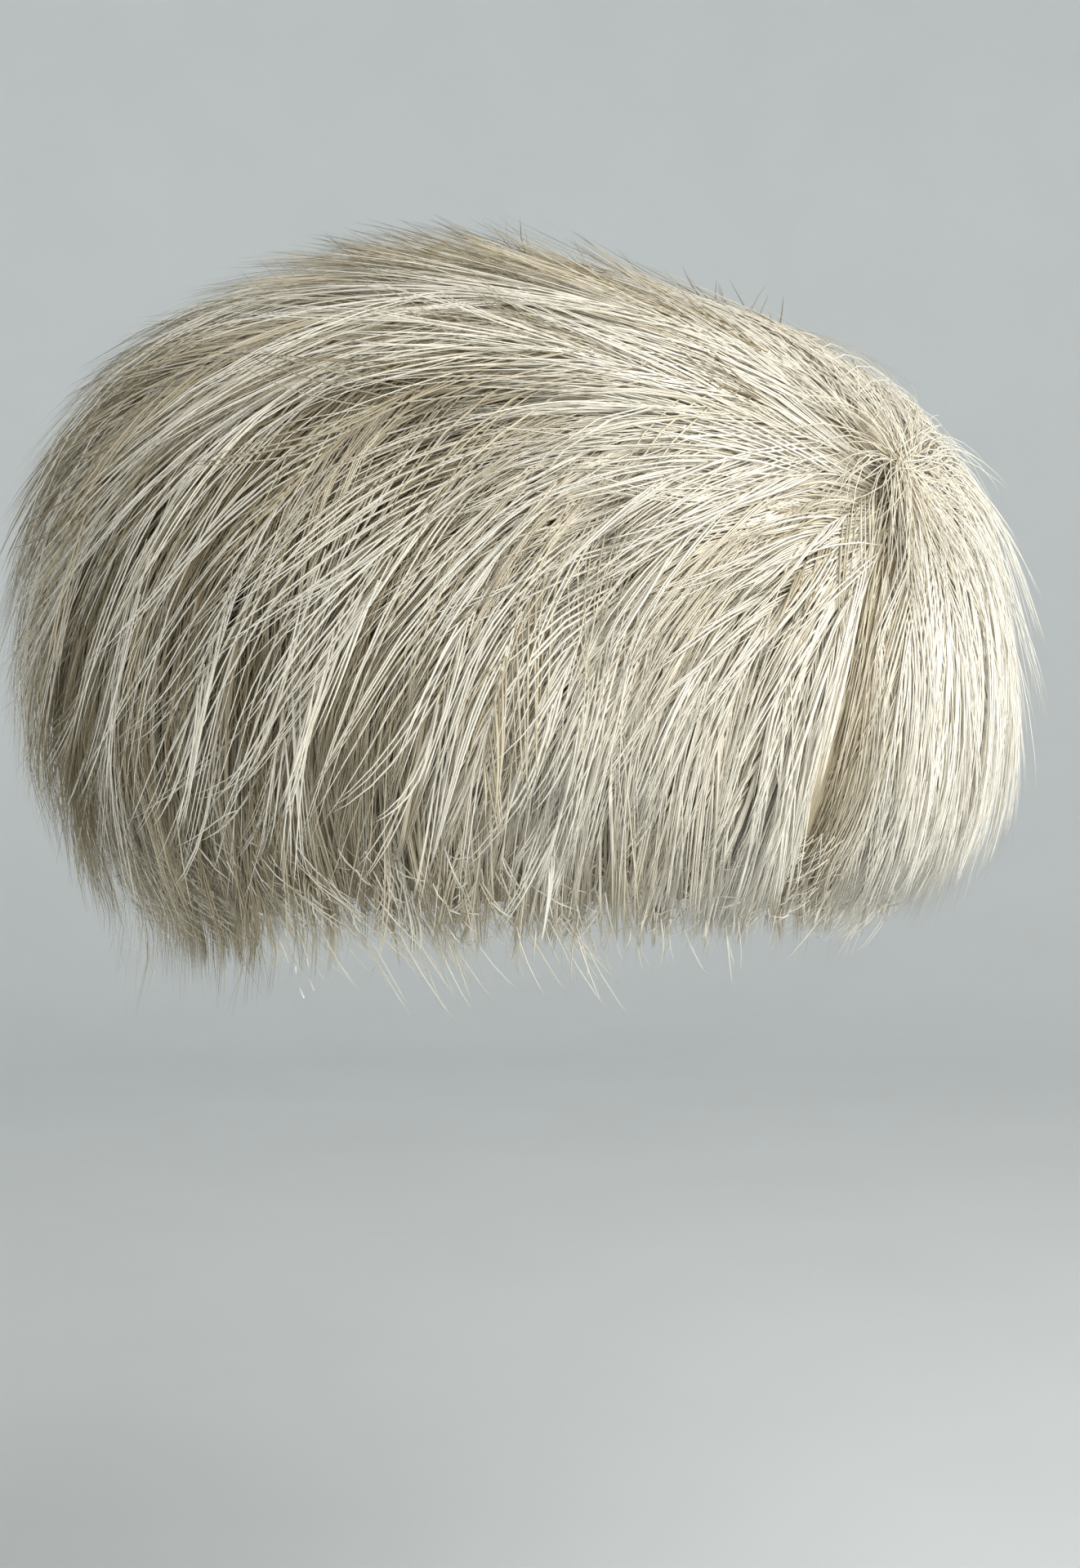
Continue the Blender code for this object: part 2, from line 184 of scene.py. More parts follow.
class Ways:
    """The hat's surface by distance from the whorl and by column: the way that feathers take."""

    ROWS, FINE_ROWS, COLUMNS = 120, 240, 720
    FALL, FALL_ROWS = 0.09, 36  # how far below the rim the surface is laid out
    BY_RIM, HEM_LIFT = 0.98, 0.01  # where the fringe starts to fall
    LEAST_RATE = 0.006
    SWIRL_TURNS = (0, 50, 50, 85, 150, 255, 360)  # degrees round the rim, from +X through the front
    SWIRL_SHARES = (0, 0, 0.45, 1, 0.8, 0, 0)
    GROOVE_DEPTH, GROOVE_SHIFT, GROOVE_WIDTH, GROOVE_END = 0.8, 0.3, 0.65, 1.1

    def __init__(self, sizes):
        self.sizes = sizes
        drop = (1 - sizes.rim_share**sizes.tuck_fullness) ** (1 / sizes.tuck_fullness)
        self.tuck_drop = sizes.widest_level / drop
        self.rim_polar = math.atan2(sizes.rim_share, -drop)
        self.whorl = sizes.whorl_share * np.exp(1j * sizes.whorl_turn)
        self.spread_centre = self.whorl * sizes.spread
        columns = np.arange(self.COLUMNS) / self.COLUMNS * TAU
        self.turns = np.angle(shifted(np.exp(1j * columns), self.spread_centre))
        rims = np.exp(1j * self.turns)
        headings = shifted(rims, -self.whorl)
        steps = np.linspace(0, 1, self.FINE_ROWS + 1)
        discs = shifted(headings * steps[:, None], self.whorl)
        places = self.shell(discs, 0)
        gaps = np.linalg.norm(np.diff(places, axis=0), axis=-1)
        lengths = np.concatenate([np.zeros((1, self.COLUMNS)), gaps.cumsum(0)])
        self.lengths = lengths[-1]
        wanted = np.linspace(0, 1, self.ROWS + 1)[:, None] * self.lengths
        even = np.empty(wanted.shape, complex)
        for column in range(self.COLUMNS):
            real = np.interp(wanted[:, column], lengths[:, column], discs[:, column].real)
            imag = np.interp(wanted[:, column], lengths[:, column], discs[:, column].imag)
            even[:, column] = real + 1j * imag
        seats = self.shell(even, 0)
        outward = self.shell(even, 1) - seats
        start = self.shell(rims, self.HEM_LIFT)
        tangent = start - self.shell(rims * self.BY_RIM, self.HEM_LIFT)
        tangent /= along_axis(np.linalg.norm(tangent, axis=-1))
        beyond = np.linspace(0, self.FALL, self.FALL_ROWS + 1)[1:, None]
        fallen = past_rim(seats[-1], tangent, beyond, sizes.fall_bend)
        self.seats = np.concatenate([seats, fallen])
        self.outward = np.concatenate([outward, np.broadcast_to(outward[-1], fallen.shape)])
        aside = np.roll(self.seats, -1, axis=1) - np.roll(self.seats, 1, axis=1)
        self.rates = np.linalg.norm(aside, axis=-1) / (2 * TAU / self.COLUMNS)

    def shell(self, disc, lift):
        """Points at a height over the foundation; disc is 0 at the crown and has size 1 at the rim."""
        sizes = self.sizes
        polar, turn = np.abs(disc) * self.rim_polar, np.angle(disc)
        sine, cosine = np.sin(polar), np.cos(polar)
        upper = cosine >= 0
        full = np.where(upper, sizes.crown_fullness, sizes.tuck_fullness)
        drop = np.where(upper, sizes.crown_rise, self.tuck_drop)
        reach = (sine**full + np.abs(cosine) ** full) ** (-1 / full)
        out, up = reach * sine, reach * cosine
        half_width, half_depth = sizes.bubble_width / 2, sizes.bubble_depth / 2
        x, y = half_width * out * np.cos(turn), half_depth * out * np.sin(turn)
        slope = out ** (full - 1)
        normal_x, normal_y = slope * np.cos(turn) / half_width, slope * np.sin(turn) / half_depth
        normal_z = np.copysign(np.abs(up) ** (full - 1), up) / drop
        normal_z = np.where(normal_z < 0, normal_z * sizes.outward_share, normal_z)
        size = np.sqrt(normal_x**2 + normal_y**2 + normal_z**2)
        place = np.stack([x, y, drop * up + sizes.widest_level], -1)
        return place + np.stack([normal_x, normal_y, normal_z], -1) / along_axis(size) * lift

    def column_at(self, turn):
        """The column whose feathers meet the rim at a turn in radians."""
        return np.angle(shifted(np.exp(1j * turn), -self.spread_centre))

    def cell(self, distance, column):
        """Where a distance and a column lie on the grid, as whole steps and the rest."""
        across = np.mod(column / TAU, 1) * self.COLUMNS
        left = np.floor(across).astype(int) % self.COLUMNS
        part = across - np.floor(across)
        length = self.lengths[left] * (1 - part) + self.lengths[(left + 1) % self.COLUMNS] * part
        on_hat = distance / length * self.ROWS
        below = self.ROWS + (distance - length) / self.FALL * self.FALL_ROWS
        row = np.where(distance < length, on_hat, below).clip(0, self.ROWS + self.FALL_ROWS - 1e-6)
        upper = np.floor(row).astype(int)
        return upper, row - upper, left, part

    def read(self, grid, distance, column):
        upper, down, left, part = self.cell(distance, column)
        right = (left + 1) % self.COLUMNS
        if grid.ndim > 2:
            down, part = along_axis(down), along_axis(part)
        above = grid[upper, left] * (1 - part) + grid[upper, right] * part
        below = grid[upper + 1, left] * (1 - part) + grid[upper + 1, right] * part
        return above * (1 - down) + below * down

    def raised(self, distance, column, lifts):
        """Places at heights over the surface, and the outward ways there."""
        outward = self.read(self.outward, distance, column)
        return self.read(self.seats, distance, column) + outward * along_axis(lifts), outward

    def length(self, column):
        across = np.mod(column / TAU, 1) * self.COLUMNS
        return np.interp(across, np.arange(self.COLUMNS + 1), np.append(self.lengths, self.lengths[0]))

    def rim_turn(self, column):
        return np.angle(shifted(np.exp(1j * column), self.spread_centre))

    def window(self, column):
        """How much feathers swirl: 1 beside the parting in front, falling to 0 at the back."""
        turn = np.mod(-self.rim_turn(column), TAU)
        return np.interp(turn, np.radians(self.SWIRL_TURNS), self.SWIRL_SHARES)

    def paleness(self, column):
        """How near the whorl feathers meet the rim, 1 beside it, on the side that the window lights. Tones
        are paler there and darker away from it, as painted light and shade, and feathers and wisps there
        lie denser and lower.
        """
        return 0.5 + 0.5 * np.cos(self.rim_turn(column) - self.sizes.whorl_turn)

    def rate(self, distance, column):
        """How much a column is worth as a length."""
        return np.maximum(self.read(self.rates, distance, column), self.LEAST_RATE)

    def off_parting(self, distance, column):
        """How far a place lies from the middle of the parting, towards the side fall."""
        turn = np.mod(column - self.column_at(self.sizes.parting_turn) + math.pi, TAU) - math.pi
        return turn * self.rate(distance, column)

    def groove(self, distance, column):
        """How much of their height strands keep: least in the parting, well below the whorl."""
        off = self.off_parting(distance, column) / self.sizes.parting_width
        off = (off - self.GROOVE_SHIFT) / self.GROOVE_WIDTH
        share = (distance / self.length(column)).clip(0, self.GROOVE_END) / self.GROOVE_END
        return 1 - self.GROOVE_DEPTH * np.exp(-(off**2)) * np.sin(math.pi * share**2)

    def leftness(self, column):
        """How far round feathers meet the rim: 0 in front, 1 at the left as seen from the front."""
        return np.maximum(0, -np.cos(self.rim_turn(column)))

    def hang(self, column):
        """How far the fringe reaches below the rim: furthest at the left."""
        sizes = self.sizes
        return sizes.hang_front + (sizes.hang_left - sizes.hang_front) * self.leftness(column)


# Strands


def walk(ways, distance, column, lengths, heading, segments):
    """Follows the surface from a place: heading(share, distance, column) is the turn off the way."""
    distances, columns = [distance], [column]
    step = lengths / segments
    for index in range(segments):
        turn = heading((index + 0.5) / segments, distance, column)
        rate = ways.rate(distance, column)
        distance = distance + step * np.cos(turn)
        column = column + step * np.sin(turn) / rate
        distances.append(distance)
        columns.append(column)
    return np.stack(distances, 1), np.stack(columns, 1)


PARTING_END, PARTING_BIAS = 1.05, 1.9  # where the parting closes, and how far down it is widest
PARTING_WIDTHS = (0.5, 1.1)
PARTING_STARTS, PARTING_OPENS = 0.1, 0.2
NEAR_PARTING = 0.06


def parted(ways, distance, column, side, width, chance):
    """Keeps columns to their side of the parting, softly, so that a hollow stays open below the whorl."""
    rate = ways.rate(distance, column)
    share = (distance / ways.length(column)).clip(0)
    half = width / 2 * np.sin(math.pi * (share / PARTING_END).clip(0, 1) ** PARTING_BIAS)
    half = half * chance.uniform(*PARTING_WIDTHS, (len(distance), 1))
    away = side * ways.off_parting(distance, column) - half
    near = np.abs(away) < NEAR_PARTING
    kept = 0.5 * (away + np.sqrt(away**2 + ways.sizes.parting_softness**2))
    below_whorl = ((share - PARTING_STARTS) / PARTING_OPENS).clip(0, 1)
    return np.where(near, column + side * (kept - away) * below_whorl / rate, column)


FLATNESS = 0.5  # a strand's thickness over its width
TIP_TAPER, ROOT_WIDTH, ROOT_END = 2.2, 0.7, 0.2  # it swells from the root on, then narrows to its point


def strand_arrays(places, outward, widths, tones):
    """Points, faces and map values of closed, three-sided, pointed strands."""
    count, rings = places.shape[:2]
    segments = rings - 1
    tangent = np.gradient(places, axis=1)
    tangent /= along_axis(np.linalg.norm(tangent, axis=-1) + 1e-12)
    aside = np.cross(tangent, outward)
    aside /= along_axis(np.linalg.norm(aside, axis=-1) + 1e-12)
    up = np.cross(aside, tangent)
    along = np.linspace(0, 1, rings)
    swelling = np.minimum(1, along / ROOT_END)
    taper = (1 - along**TIP_TAPER) * (ROOT_WIDTH + (1 - ROOT_WIDTH) * swelling)
    half = along_axis(widths[:, None] * taper / 2)
    corners = []
    for turn in (math.radians(90), math.radians(210), math.radians(330)):
        corners.append(places + half * (aside * math.cos(turn) + up * math.sin(turn) * FLATNESS))
    rows = np.stack(corners, 2)[:, :segments].reshape(count, segments * 3, 3)
    points = np.concatenate([rows, places[:, -1:]], 1)
    per_strand = segments * 3 + 1
    faces = [
        (row * 3 + side, row * 3 + (side + 1) % 3, (row + 1) * 3 + (side + 1) % 3, (row + 1) * 3 + side)
        for row in range(segments - 1)
        for side in range(3)
    ]
    last = (segments - 1) * 3
    faces += [(last + side, last + (side + 1) % 3, last + 3) for side in range(3)] + [(2, 1, 0)]
    sizes = np.tile([len(face) for face in faces], count)
    corners = np.array([corner for face in faces for corner in face])
    corners = (corners + np.arange(count)[:, None] * per_strand).ravel()
    share = np.append(np.repeat(along[:segments], 3), 1)
    values = np.stack([np.repeat(tones, per_strand), np.tile(share, count)], 1)
    return points.reshape(-1, 3), corners, sizes, values


def mesh_of(name, parts):
    """One mesh of several sets of strands. Its map holds tone and place along a strand."""
    points, corners, sizes, values = zip(*parts)
    offsets = np.cumsum([0] + [len(made) for made in points[:-1]])
    corners = np.concatenate([made + offset for made, offset in zip(corners, offsets)])
    points, sizes, values = (np.concatenate(made) for made in (points, sizes, values))
    mesh = bpy.data.meshes.new(name)
    mesh.vertices.add(len(points))
    mesh.vertices.foreach_set("co", points.astype(np.float32).ravel())
    mesh.loops.add(len(corners))
    mesh.loops.foreach_set("vertex_index", corners.astype(np.int32))
    mesh.polygons.add(len(sizes))
    starts = np.concatenate([[0], sizes.cumsum()[:-1]])
    mesh.polygons.foreach_set("loop_start", starts.astype(np.int32))
    mesh.update(calc_edges=True)
    layer = mesh.uv_layers.new(name="strand")
    layer.uv.foreach_set("vector", values[corners].astype(np.float32).ravel())
    mesh.shade_smooth()
    return mesh


def smooth_mesh(name, bm):
    mesh = bpy.data.meshes.new(name)
    bm.to_mesh(mesh)
    bm.free()
    mesh.shade_smooth()
    return mesh


def in_scene(name, data):
    made = bpy.data.objects.new(name, data)
    bpy.context.scene.collection.objects.link(made)
    return made


def add_piece(name, mesh, material, node):
    mesh.materials.append(material)
    piece = in_scene(name, mesh)
    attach(piece, "root")
    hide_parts(node)


# How feathers vary: spreads in degrees, and shares from the least to the most
LEAN_SPREAD, BOW_SPREAD = 5, 6
SETTLE_SPREAD, STRAY_SPREAD, ANGLE_SPREAD = 1.5, 14, 0.06
QUILL_SHARES = (0.50, 0.68)
LONGEST_CLUMP, BARB_SHARES = 1.12, (0.90, 1.05)
CLUMP_PULLS, PULL_BIAS = (0.35, 0.95), 1.4
CLUMP_DEPTH, BARB_DEPTH = 0.09, 0.04
CLUMP_RISE, BARB_RISE, STRAY_RISE = 0.10, 0.04, 0.6
BARB_WIDTHS, STRAY_WIDTH = (0.65, 1.2), 0.7
ROOM_SHARES, QUILL_ROOM = (0.7, 1.0), 0.8
TONE_SPREAD = 0.06

# Lengths in metres
LAID = 0.015  # how far feathers lie on the hat before they spring off it
DOWN_LIFT, LEAST_LIFT, MOST_LIFT = 0.0042, 0.0045, 0.026

QUILL_STEPS, PALE_QUILL_THINNER = 20, 0.4
SWIRL_BIAS = 1.3  # swirl fades towards the rim by this power
ROOT_ANGLE, ANGLE_LOSS = 1.15, 0.75  # barbs stand off more at the root of a quill than at its tip
BASE_LOSS = 0.15  # how much shorter the barbs at the root are
SIDE_GAP, FRONT_GAP = 2.4, 1.4  # how far each side keeps from the parting's middle, over its width
LEAST_GAP, PALE_GAP = 0.6, 0.5
START_RUFFLE, FRONT_LAG, INNER_SHARE = 0.3, 0.35, 0.25
SHORTENED = 0.2  # the least share of a barb that is left when it ends at the hem
OUTERMOST, MOST_RISE = 1.15, 2
DENSE_PRESS, DENSE_LIFT, DENSE_WIDTH, DENSE_CALM = 0.5, 0.35, 0.25, 0.75
# Tone shifts: by depth, partly the under layer's own beige and partly painted shade; painted shade in the
# parting's hollow; the power that shapes painted light towards the right
DEPTH_BEIGE_AND_SHADE, SHADE_TONE, LIGHT_PALE_BIAS = 0.3, 1.05, 1.3
# Painted shade on the back and left, away from the window: how much, and the rim turn past which it starts
AWAY_SHADE_TONE, AWAY_SHADE_TURN = 0.3, math.radians(20)


def sprung(rises, flown, sizes):
    """How far strands have left the surface, after a length of flight."""
    return rises * (flown - LAID).clip(0) ** 2 / (2 * sizes.crown_rise)


def within(fly, room):
    """Flight made less where the tip would pass the room over it."""
    return fly * np.minimum(1, room / (fly[:, -1:] + 1e-6))


def spray_strands(ways, spray, kind, count, feathers, seed):
    """Quills and barbs of a spray's feathers of one kind, as strand_arrays takes them."""
    chance = np.random.default_rng(seed)
    row = spray.row
    first = ways.column_at(math.radians(spray.first))
    last = ways.column_at(math.radians(spray.last))
    if last > first:
        last -= TAU
    across = (np.arange(count) + chance.uniform(0.0, 1.0, count)) / count
    chance.shuffle(across)
    column = first + (last - first) * across
    length = ways.length(column)
    root = row.root + row.root_spread * chance.uniform(0, 1, count)
    tip = row.tip + row.tip_spread * chance.uniform(0, 1, count)
    reach = (tip - root) * length + row.hang * ways.hang(column)
    quill = reach * chance.uniform(*QUILL_SHARES, count)
    lean = np.radians(chance.normal(0, LEAN_SPREAD, count))
    bow = np.radians(chance.normal(0, BOW_SPREAD, count))
    depth = chance.uniform(kind.deepest, kind.shallowest, count)
    dense = ways.paleness(column) ** 2
    depth = depth * (1 - DENSE_PRESS * dense) + DENSE_LIFT * dense
    swirl, lag = math.radians(spray.swirl), math.radians(kind.lag)
    gap = ways.sizes.parting_width * row.parting * (LEAST_GAP + PALE_GAP * kind.tone)
    gap = gap * (SIDE_GAP if spray.parts > 0 else FRONT_GAP)

    def swirled(distance, column):
        left = (1 - distance / ways.length(column)).clip(0, 1)
        return swirl * left**SWIRL_BIAS * ways.window(column)

    def quill_heading(share, distance, column):
        return lean + bow * share - swirled(distance, column)

    distances, columns = walk(ways, root * length, column, quill, quill_heading, QUILL_STEPS)
    kept_apart = spray.parts and (kind is not UNDER or row.name == "upper")
    if kept_apart:
        columns = parted(ways, distances, columns, spray.parts, gap, chance)

    def lift(distance, column, depth):
        """Height over the foundation for a depth in the row, 0 innermost and 1 outermost."""
        share = distance / ways.length(column)
        slope = (row.tip_lift - row.root_lift) / (row.tip - row.root)
        outer = (row.root_lift + slope * (share - row.root)).clip(LEAST_LIFT, MOST_LIFT)
        inner = DOWN_LIFT + INNER_SHARE * (outer - DOWN_LIFT)
        return (inner + (outer - inner) * depth) * ways.groove(distance, column)

    # Barbs, evenly spaced along both sides of each quill, in clumps of neighbours
    barbs = kind.barbs
    shape = (count, 2 * barbs)
    clumps = (count, 2 * barbs // kind.clump)
    station = np.broadcast_to(np.tile((np.arange(barbs) + 0.5) / barbs, 2), shape)
    side = np.broadcast_to(np.repeat([-1.0, 1.0], barbs), shape)
    at = station * QUILL_STEPS
    low = np.floor(at).astype(int).clip(0, QUILL_STEPS - 1)
    part = at - low
    feather = np.broadcast_to(np.arange(count)[:, None], shape)

    def on_quill(path):
        return path[feather, low] * (1 - part) + path[feather, low + 1] * part

    def each(values):
        return np.repeat(values, kind.clump, axis=1)

    def varied(clump_spread, barb_spread):
        return each(chance.normal(0, clump_spread, clumps)) + chance.normal(0, barb_spread, shape)

    start, start_column = on_quill(distances), on_quill(columns)
    room = (reach[:, None] - quill[:, None] * station) * kind.reach
    shares = each(chance.uniform(kind.shortest, LONGEST_CLUMP, clumps))
    barb_length = room * shares * chance.uniform(*BARB_SHARES, shape)
    barb_length = np.minimum(barb_length * (1 - BASE_LOSS * (1 - station) ** 2), feathers.longest_barb)
    stray = chance.uniform(0, 1, shape) < feathers.stray
    angle = feathers.barb_angle * kind.angle * (ROOT_ANGLE - ANGLE_LOSS * station)
    angle = angle * chance.normal(1, ANGLE_SPREAD, shape)
    angle = side * angle + np.where(stray, np.radians(chance.normal(0, STRAY_SPREAD, shape)), 0)
    settled = np.radians(varied(kind.ruffle, SETTLE_SPREAD))
    own = lean[:, None] + bow[:, None] * station
    spread = each(chance.uniform(0, 1, clumps)).ravel()
    flat = [x.ravel() for x in (start, start_column, barb_length, angle, settled, own)]
    starts, start_columns, lengths, angles, settles, owns = flat

    def heading(share, distance, column):
        turn = owns + angles * math.exp(-share * kind.set) + settles * (START_RUFFLE + share)
        lagging = ways.window(column) * (FRONT_LAG + (1 - FRONT_LAG) * ways.leftness(column))
        return turn - swirled(distance, column) - lag * share * lagging

    for _ in range(2):
        barb_distances, barb_columns = walk(ways, starts, start_columns, lengths, heading, kind.segments)
        end, end_column = barb_distances[:, -1], barb_columns[:, -1]
        floor = ways.length(end_column) + (1 - kind.ragged * spread) * ways.hang(end_column)
        lengths = lengths * ((floor - starts) / (end - starts)).clip(SHORTENED, 1)
    barb_distances, barb_columns = walk(ways, starts, start_columns, lengths, heading, kind.segments)
    share = np.linspace(0, 1, kind.segments + 1)
    pull = each(chance.uniform(*CLUMP_PULLS, clumps)).ravel()
    pull = np.where(stray.ravel(), 0, pull)[:, None] * share**PULL_BIAS
    grouped = (-1, kind.clump, kind.segments + 1)

    def clumped(paths):
        middle = np.repeat(paths.reshape(grouped).mean(1), kind.clump, axis=0)
        return paths + (middle - paths) * pull

    barb_distances, barb_columns = clumped(barb_distances), clumped(barb_columns)
    if kept_apart:
        barb_columns = parted(ways, barb_distances, barb_columns, spray.parts, gap, chance)

    # Heights: the depth in the row, and what feathers and barbs spring off it
    deep = depth[feather] + each(chance.normal(0, CLUMP_DEPTH, clumps))
    deep = deep + chance.normal(0, BARB_DEPTH, shape)
    calm = 1 - DENSE_CALM * dense
    rise = chance.uniform(0, 1, count) ** kind.rarity * kind.stiffness
    own_rise = varied(CLUMP_RISE, BARB_RISE)
    rises = (rise[:, None] + own_rise * kind.stiffness).clip(0, MOST_RISE).ravel()
    rises = (rises + STRAY_RISE * stray.ravel()) * calm[feather.ravel()]
    flown = (station * quill[:, None]).ravel()[:, None] + share * lengths[:, None]
    lifts = lift(barb_distances, barb_columns, deep.ravel().clip(0, OUTERMOST)[:, None])
    room = (feathers.highest_lift - lifts[:, -1:]) * chance.uniform(*ROOM_SHARES, (starts.size, 1))
    lifts = lifts + within(sprung(rises[:, None], flown, ways.sizes), room)
    barb_places, outward = ways.raised(barb_distances, barb_columns, lifts)
    widths = feathers.barb_width * kind.width * chance.uniform(*BARB_WIDTHS, starts.size)
    widths = widths * (1 + DENSE_WIDTH * dense[feather.ravel()])
    widths[stray.ravel()] *= STRAY_WIDTH

    # Tones: paler outside and darker deeper in the row, partly the under feathers' own beige and partly
    # painted shade; painted light towards the right, the side that the window lights; painted shade in the
    # parting's hollow, and on the back and left, away from the window
    # Deeper barbs darker: partly the under feathers' own beige, partly painted shade
    tones = kind.tone + DEPTH_BEIGE_AND_SHADE * (deep - kind.deepest)
    tones = (tones + each(chance.normal(0, TONE_SPREAD, clumps))).ravel()
    # Painted light: barbs are paler the further right they lie, on the side that the window lights
    rightness = barb_places[:, kind.segments // 2, 0] / (ways.sizes.bubble_width / 2)
    pale = (0.5 + 0.5 * rightness).clip(0, 1) ** LIGHT_PALE_BIAS * kind.paling
    # Painted shade in the parting's hollow
    shade = 1 - ways.groove(barb_distances, barb_columns)[:, kind.segments // 2]
    # Painted shade on the back and left, away from the window
    far = np.sin(ways.rim_turn(start_columns) - AWAY_SHADE_TURN).clip(0) * (1 - ways.paleness(start_columns))
    tones = tones + pale - SHADE_TONE * shade - AWAY_SHADE_TONE * far
    tones = (tones + chance.normal(0, TONE_SPREAD, starts.size)).clip(0, 1)
    barbs_made = (barb_places, outward, widths, tones)

    flown = np.linspace(0, 1, QUILL_STEPS + 1) * quill[:, None]
    quill_lifts = lift(distances, columns, depth[:, None])
    room = (QUILL_ROOM * feathers.highest_lift - quill_lifts[:, -1:]).clip(0)
    quill_lifts = quill_lifts + within(sprung((rise * calm)[:, None], flown, ways.sizes), room)
    pick = np.linspace(0, QUILL_STEPS, kind.segments + 1).round().astype(int)
    raised = ways.raised(distances[:, pick], columns[:, pick], quill_lifts[:, pick])
    quill_widths = np.full(count, feathers.quill_width * (1 - PALE_QUILL_THINNER * kind.tone))
    quills_made = (*raised, quill_widths, np.full(count, kind.tone))
    return [np.concatenate(pair) for pair in zip(barbs_made, quills_made)]


# Materials


class Node:
    """A shader socket that takes part in Python expressions."""

    def __init__(self, tree, socket):
        self.tree, self.socket = tree, socket

    def maths(self, operation, first, second):
        return self.tree.node("ShaderNodeMath", {"operation": operation}, {0: first, 1: second})

    def __add__(self, other):
        return self.maths("ADD", self, other)

    def __sub__(self, other):
        return self.maths("SUBTRACT", self, other)

    def __mul__(self, other):
        return self.maths("MULTIPLY", self, other)

    def __rsub__(self, other):
        return self.maths("SUBTRACT", other, self)

    __radd__, __rmul__ = __add__, __mul__


class Finish:
    """A material and its nodes."""

    FACTOR, FIRST, SECOND, MIXED = 0, 6, 7, 2  # sockets of a Mix node that mixes colours
    OBJECT = 3  # output of Texture Coordinate

    def __init__(self, name, **uniform):
        self.material = bpy.data.materials.new(name)
        self.material.use_nodes = True
        self.nodes, self.links = self.material.node_tree.nodes, self.material.node_tree.links
        self.shader = self.nodes["Principled BSDF"]
        for socket, value in uniform.items():
            self.shader.inputs[socket.replace("_", " ")].default_value = value

    def node(self, kind, settings=None, sockets=None, output=0):
        """Adds a node: its settings come first, then the values or links of its sockets."""
        made = self.nodes.new(kind)
        for name, value in (settings or {}).items():
            setattr(made, name, value)
        for key, value in (sockets or {}).items():
            if isinstance(value, Node):
                self.links.new(value.socket, made.inputs[key])
            elif isinstance(value, (tuple, list)) and len(made.inputs[key].default_value) == 4:
                made.inputs[key].default_value = (*value, 1)
            else:
                made.inputs[key].default_value = value
        return Node(self, made.outputs[output])

    def mixed(self, factor, first, second):
        """Colour first where factor is 0 and second where it is 1."""
        settings = {"data_type": "RGBA", "clamp_factor": True}
        sockets = {self.FACTOR: factor, self.FIRST: first, self.SECOND: second}
        return self.node("ShaderNodeMix", settings, sockets, self.MIXED)

    def on_map(self, name):
        """The two numbers that a mesh's map holds at each place."""
        places = self.node("ShaderNodeUVMap", {"uv_map": name})
        apart = self.part_of(places)
        return apart, Node(self, apart.socket.node.outputs[1])

    def noise(self, places, scale, detail=2.0, roughness=0.5):
        sockets = {"Vector": places, "Scale": scale, "Detail": detail, "Roughness": roughness}
        return self.node("ShaderNodeTexNoise", {}, sockets)

    def ranged(self, value, low, high, to_low=0.0, to_high=1.0):
        sockets = dict(enumerate((value, low, high, to_low, to_high)))
        return self.node("ShaderNodeMapRange", {"clamp": True}, sockets)

    def own_places(self):
        return self.node("ShaderNodeTexCoord", {}, {}, self.OBJECT)

    def part_of(self, places, axis=0):
        return self.node("ShaderNodeSeparateXYZ", {}, {0: places}, axis)

    def bumped(self, height, strength, distance):
        sockets = {"Height": height, "Strength": strength, "Distance": distance}
        bump = self.node("ShaderNodeBump", {}, sockets)
        self.links.new(bump.socket, self.shader.inputs["Normal"])

    def drive(self, **linked):
        for socket, value in linked.items():
            self.links.new(value.socket, self.shader.inputs[socket.replace("_", " ")])
        return self.material


def feather_finish(name, colours, paleness):
    """Silky barbs: beige at the quill, cream along them and nearly white where they are pale."""
    patch_change, root_paling = 0.5, 0.30
    creamy, whitish = (0.0, 0.5), (0.45, 0.95)
    matt, silky = 0.8, 0.42
    finish = Finish(name, Specular_IOR_Level=0.4)
    tone, along = finish.on_map("strand")
    patches = finish.noise(finish.own_places(), scale=26.0, detail=0.0)
    pale = tone + patch_change * (patches - 0.5) + paleness
    root, cream, white = tuple(colours.root), tuple(colours.cream), tuple(colours.white)
    deep = finish.mixed(finish.ranged(pale, *creamy), root, cream)
    body = finish.mixed(finish.ranged(pale, *whitish), deep, white)
    rooted = finish.ranged(along + root_paling * pale, low=0.05, high=0.40, to_low=0.4)
    colour = finish.mixed(rooted, root, body)
    return finish.drive(Base_Color=colour, Roughness=finish.ranged(pale, 0, 1, matt, silky))


def down_finish(colours):
    """Short down, combed along the ways: tufts of fine fibre with painted shade between them, and painted
    light that turns the down cream towards the right.
    """
    stretch = 0.06  # how much finer the map is along the ways, which draws fibres out
    lit_side = (-0.02, 0.10)  # metres to the right
    finish = Finish("combed_down", Specular_IOR_Level=0.2, Roughness=0.9)
    across, along = finish.on_map("combed")
    combed = finish.node("ShaderNodeCombineXYZ", {}, {0: across, 1: stretch * along})
    fibres = finish.noise(combed, scale=900.0, detail=3.0, roughness=0.6)
    tufts = finish.noise(combed, scale=170.0)
    patches = finish.noise(finish.own_places(), scale=30.0)
    lit = finish.ranged(0.6 * fibres + 0.5 * tufts + 0.4 * patches, low=0.52, high=0.98)
    colour = finish.mixed(lit, tuple(colours.down_dark), tuple(colours.down))
    right = finish.part_of(finish.own_places())
    # Painted light: the down turns cream towards the right, the side that the window lights
    creamy = finish.ranged(right, *lit_side, to_high=0.35)
    colour = finish.mixed(creamy, colour, tuple(colours.cream))
    finish.bumped(fibres + tufts, strength=0.8, distance=0.0012)
    return finish.drive(Base_Color=colour)


